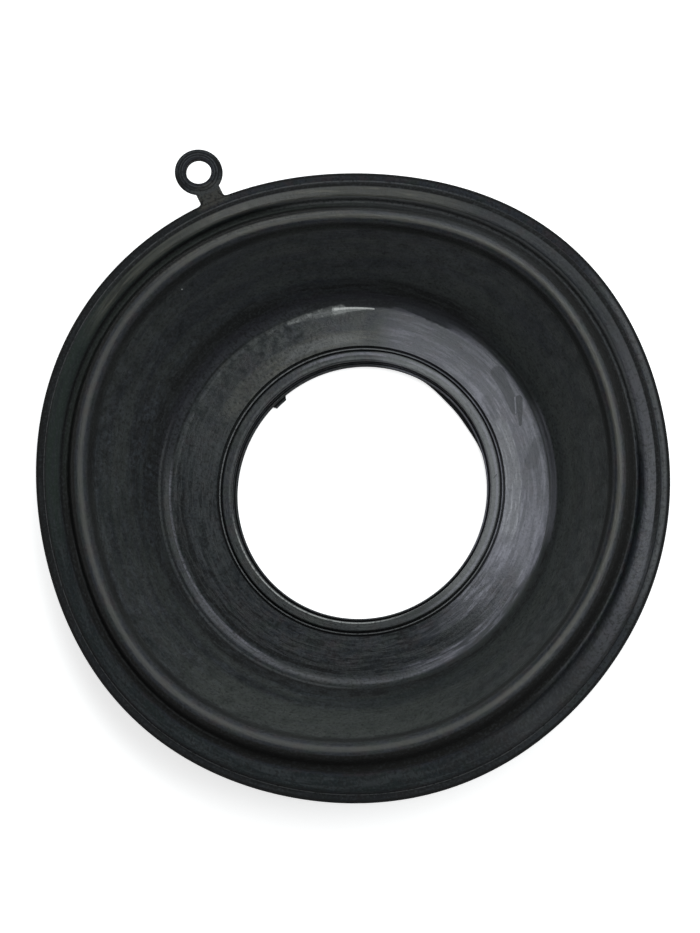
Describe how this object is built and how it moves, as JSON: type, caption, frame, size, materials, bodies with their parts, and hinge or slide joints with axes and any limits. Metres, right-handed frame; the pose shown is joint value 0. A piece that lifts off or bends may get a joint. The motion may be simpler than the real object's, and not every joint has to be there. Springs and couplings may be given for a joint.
{
  "type": "carburettor slide diaphragm",
  "caption": "Round black rubber diaphragm: a shallow bowl with a beaded rim, one rolled fold, a conical wall, a thick ring round its bore and a small ear with an air hole.",
  "frame": {"origin": "on the bore's axis, in the plane of the ring's underside", "axes": "+Z along the bore's axis, from the ring up to the rim; seen from the rim's own centre, which stands 1.05 mm to -X and 0.45 mm to +Y of that axis, the ear lies 116 degrees round from +X"},
  "size_m": [0.0839, 0.0867, 0.0138],
  "materials": {
    "rubber": "satin moulded, lightly bloomed"
  },
  "bodies": {
    "root": {"diaphragm": "rubber"}
  },
  "joints": []
}
